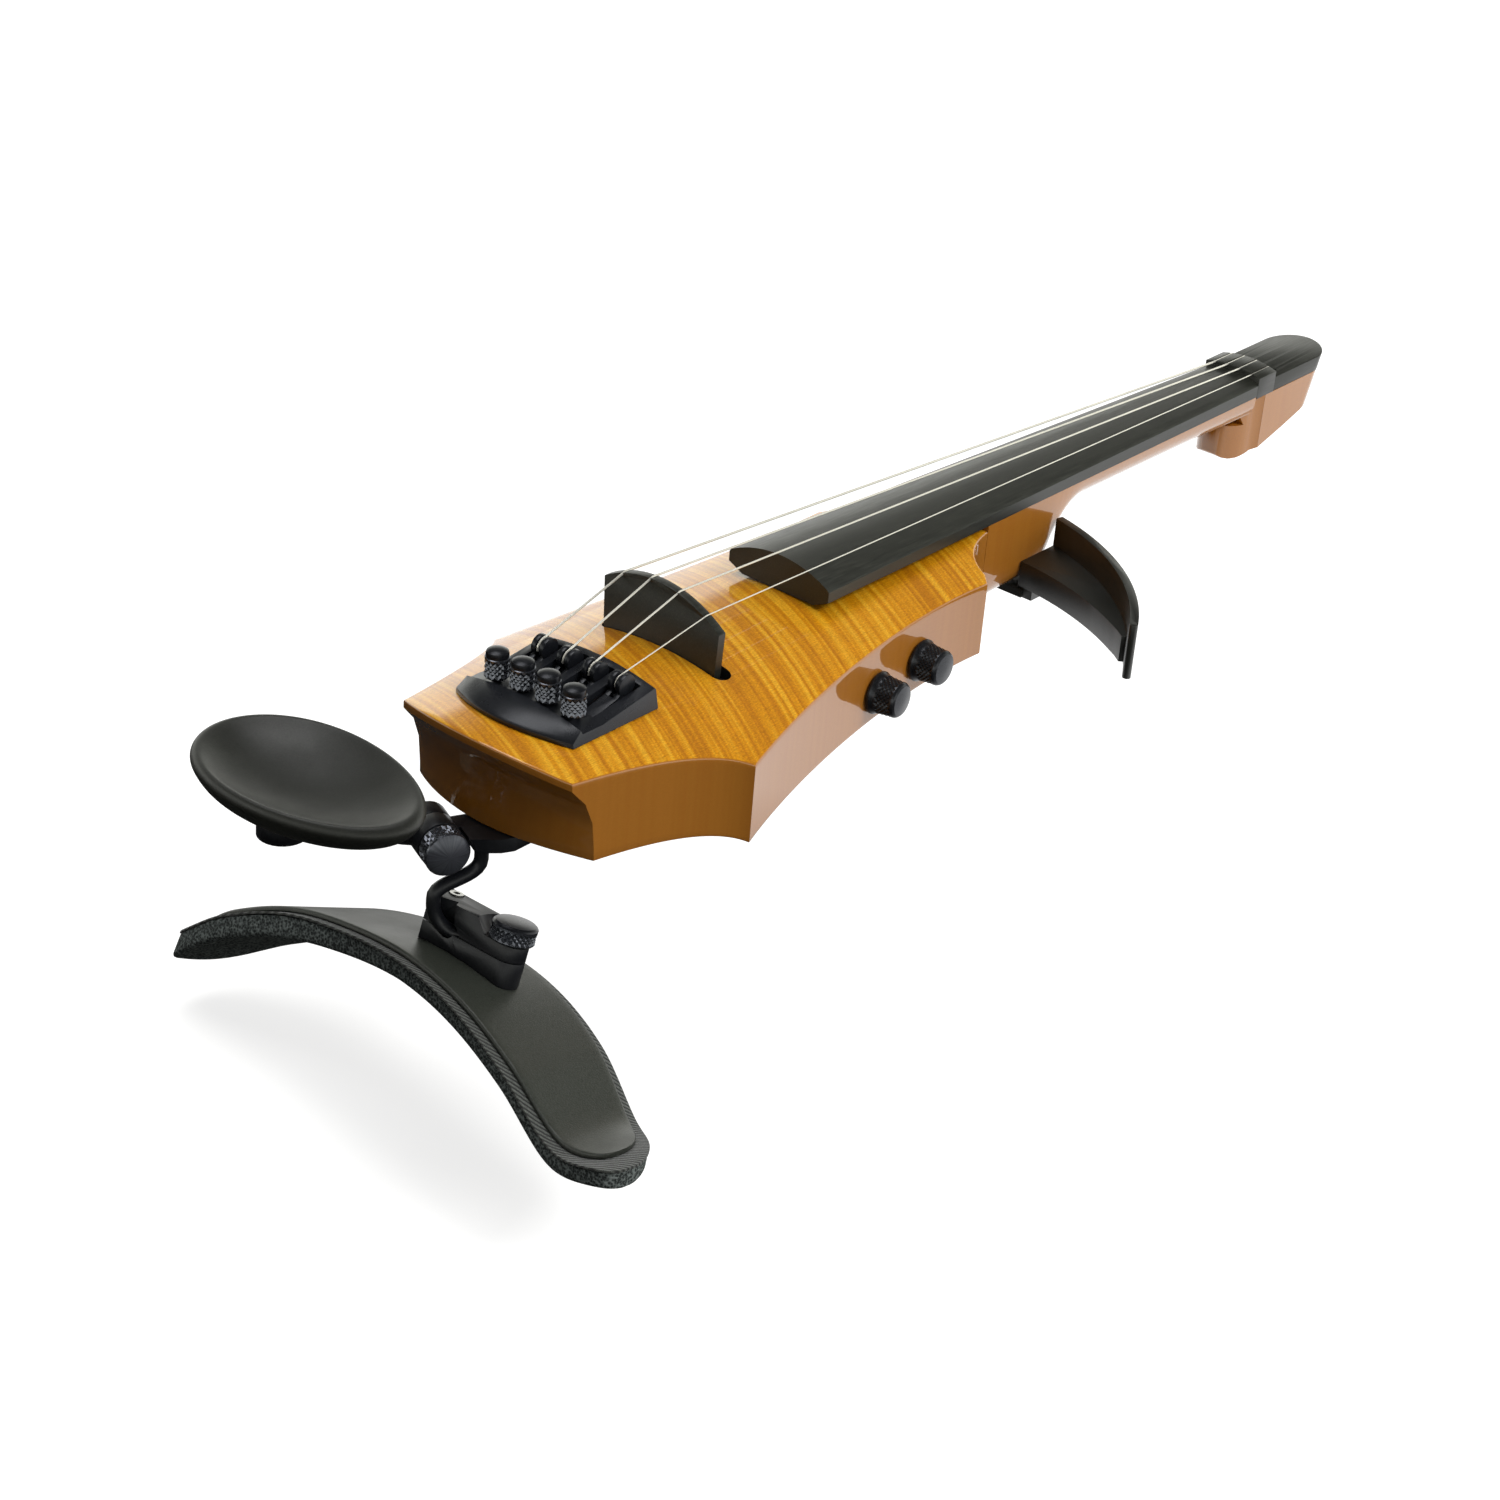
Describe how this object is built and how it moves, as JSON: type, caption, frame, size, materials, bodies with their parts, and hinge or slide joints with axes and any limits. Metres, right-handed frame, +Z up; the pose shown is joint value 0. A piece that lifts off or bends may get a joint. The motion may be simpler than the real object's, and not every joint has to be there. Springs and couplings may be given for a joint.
{
  "type": "electric violin",
  "caption": "Slim solid-body electric violin with an ebony fingerboard, tail-end fine tuners, a swivelling chin rest, a clamped foam shoulder rest and a curved arm under the upper bout.",
  "frame": {"origin": "centre of the flat underside of the tail bracket, 72 mm tailward of the bridge line and 38 mm under the crown of the top", "axes": "+X runs along the strings from the tail to the head, +Y points to the bass side, +Z points up out of the top"},
  "size_m": [0.5473, 0.2027, 0.137],
  "materials": {
    "maple_top": "amber glossy lacquer over flamed maple",
    "ebony": "satin oiled ebony",
    "black_metal": "satin black plated metal",
    "control_knob": "knurled black knob",
    "string_steel": "flat wound steel",
    "screw_steel": "zinc plated steel",
    "pickup_film": "black sensor strip",
    "black_plastic": "matte moulded plastic",
    "chin_black": "fine matte moulded plastic",
    "arm_black": "satin moulded plastic",
    "plate_grey": "satin dark grey moulded plastic",
    "facing_fabric": "black ribbed fabric",
    "foam_grey": "dark grey open foam",
    "circuit_board": "green board",
    "battery_case": "plain grey case"
  },
  "bodies": {
    "instrument": {"body": "maple_top", "fingerboard": "ebony", "neck": "maple_top", "head_plate": "ebony", "nut": "ebony", "string_g": "string_steel", "string_d": "string_steel", "string_a": "string_steel", "string_e": "string_steel", "bridge": "ebony", "bridge_pickup": "pickup_film", "tailpiece_frame": "black_metal", "tuner_axle": "black_metal", "volume_pot": "screw_steel", "tone_pot": "screw_steel", "preamp_board": "circuit_board", "battery": "battery_case", "output_jack": "black_metal", "jack_nut": "black_metal", "battery_cover": "black_plastic", "control_cover": "black_plastic", "battery_cover_screw_1": "screw_steel", "battery_cover_screw_2": "screw_steel", "control_cover_screw_1": "screw_steel", "control_cover_screw_2": "screw_steel", "control_cover_screw_3": "screw_steel", "control_cover_screw_4": "screw_steel", "tail_bracket": "black_metal", "bracket_screw_1": "screw_steel", "bracket_screw_2": "screw_steel", "bout_arm": "arm_black", "bout_arm_screw_1": "screw_steel", "bout_arm_screw_2": "screw_steel"},
    "tuner_lever_g": {"tuner_lever_g": "black_metal"},
    "tuner_knob_g": {"tuner_knob_g": "black_metal"},
    "tuner_lever_d": {"tuner_lever_d": "black_metal"},
    "tuner_knob_d": {"tuner_knob_d": "black_metal"},
    "tuner_lever_a": {"tuner_lever_a": "black_metal"},
    "tuner_knob_a": {"tuner_knob_a": "black_metal"},
    "tuner_lever_e": {"tuner_lever_e": "black_metal"},
    "tuner_knob_e": {"tuner_knob_e": "black_metal"},
    "volume_knob": {"volume_knob": "control_knob", "volume_shaft": "screw_steel"},
    "tone_knob": {"tone_knob": "control_knob", "tone_shaft": "screw_steel"},
    "clamp_knob": {"clamp_knob": "black_metal"},
    "chin_arm": {"chin_arm": "black_metal", "clamp_nut": "screw_steel"},
    "chin_rest": {"chin_rest": "chin_black", "chin_pivot_screw": "screw_steel"},
    "bent_rod": {"bent_rod": "black_metal"},
    "shoulder_rest": {"shoulder_plate": "plate_grey", "plate_facing": "facing_fabric", "foam_pad": "foam_grey", "rest_base_bar": "black_metal", "rest_clamp_bar": "black_metal", "rest_socket_screw": "screw_steel"},
    "thumb_knob": {"thumb_knob": "black_metal"}
  },
  "joints": [
    {"name": "tuner_knob_g_turn", "type": "hinge", "parent": "instrument", "child": "tuner_knob_g", "pos_m": [0.0134, 0.0159, 0.0431], "axis": [0, 0, 1], "range_deg": [-480, 120]},
    {"name": "tuner_lever_g_tilt", "type": "hinge", "parent": "instrument", "child": "tuner_lever_g", "pos_m": [0.0325, 0.0159, 0.0401], "axis": [0, 1, 0], "range_deg": [-2, 0.5]},
    {"name": "tuner_knob_d_turn", "type": "hinge", "parent": "instrument", "child": "tuner_knob_d", "pos_m": [0.0134, 0.0053, 0.0431], "axis": [0, 0, 1], "range_deg": [-480, 120]},
    {"name": "tuner_lever_d_tilt", "type": "hinge", "parent": "instrument", "child": "tuner_lever_d", "pos_m": [0.0325, 0.0053, 0.0401], "axis": [0, 1, 0], "range_deg": [-2, 0.5]},
    {"name": "tuner_knob_a_turn", "type": "hinge", "parent": "instrument", "child": "tuner_knob_a", "pos_m": [0.0134, -0.0053, 0.0431], "axis": [0, 0, 1], "range_deg": [-480, 120]},
    {"name": "tuner_lever_a_tilt", "type": "hinge", "parent": "instrument", "child": "tuner_lever_a", "pos_m": [0.0325, -0.0053, 0.0401], "axis": [0, 1, 0], "range_deg": [-2, 0.5]},
    {"name": "tuner_knob_e_turn", "type": "hinge", "parent": "instrument", "child": "tuner_knob_e", "pos_m": [0.0134, -0.0159, 0.0431], "axis": [0, 0, 1], "range_deg": [-480, 120]},
    {"name": "tuner_lever_e_tilt", "type": "hinge", "parent": "instrument", "child": "tuner_lever_e", "pos_m": [0.0325, -0.0159, 0.0401], "axis": [0, 1, 0], "range_deg": [-2, 0.5]},
    {"name": "volume_turn", "type": "hinge", "parent": "instrument", "child": "volume_knob", "pos_m": [0.1335, -0.03949, 0.0147], "axis": [0.1214, -0.9926, 0], "range_deg": [-150, 150]},
    {"name": "tone_turn", "type": "hinge", "parent": "instrument", "child": "tone_knob", "pos_m": [0.1595, -0.03704, 0.0164], "axis": [0.0635, -0.998, 0], "range_deg": [-150, 150]},
    {"name": "clamp_knob_turn", "type": "hinge", "parent": "instrument", "child": "clamp_knob", "pos_m": [-0.0168, 0.0116, -0.0003], "axis": [-0.4195, -0.9078, 0], "range_deg": [-180, 180]},
    {"name": "chin_arm_tilt", "type": "hinge", "parent": "instrument", "child": "chin_arm", "pos_m": [-0.0168, 0.0116, -0.0003], "axis": [-0.4195, -0.9078, 0], "range_deg": [-10, 10]},
    {"name": "chin_rest_swivel", "type": "hinge", "parent": "chin_arm", "child": "chin_rest", "pos_m": [-0.0725, 0.018, 0.0245], "axis": [0, 0, 1], "range_deg": [-30, 30]},
    {"name": "bent_rod_swivel", "type": "hinge", "parent": "instrument", "child": "bent_rod", "pos_m": [-0.012, -0.0045, 0.0041], "axis": [0, 0, 1], "range_deg": [-15, 15]},
    {"name": "shoulder_rest_tilt", "type": "hinge", "parent": "bent_rod", "child": "shoulder_rest", "pos_m": [-0.0208, -0.00559, -0.0269], "axis": [0.5, -0.866, 0], "range_deg": [-8, 8]},
    {"name": "thumb_knob_turn", "type": "hinge", "parent": "shoulder_rest", "child": "thumb_knob", "pos_m": [-0.01905, -0.02304, -0.0275], "axis": [0.3223, 0, 0.9466], "range_deg": [-180, 180]}
  ],
  "couplings": [
    {"joint": "tuner_lever_g_tilt", "follows": "tuner_knob_g_turn", "ratio": 0.0041667},
    {"joint": "tuner_lever_d_tilt", "follows": "tuner_knob_d_turn", "ratio": 0.0041667},
    {"joint": "tuner_lever_a_tilt", "follows": "tuner_knob_a_turn", "ratio": 0.0041667},
    {"joint": "tuner_lever_e_tilt", "follows": "tuner_knob_e_turn", "ratio": 0.0041667}
  ]
}
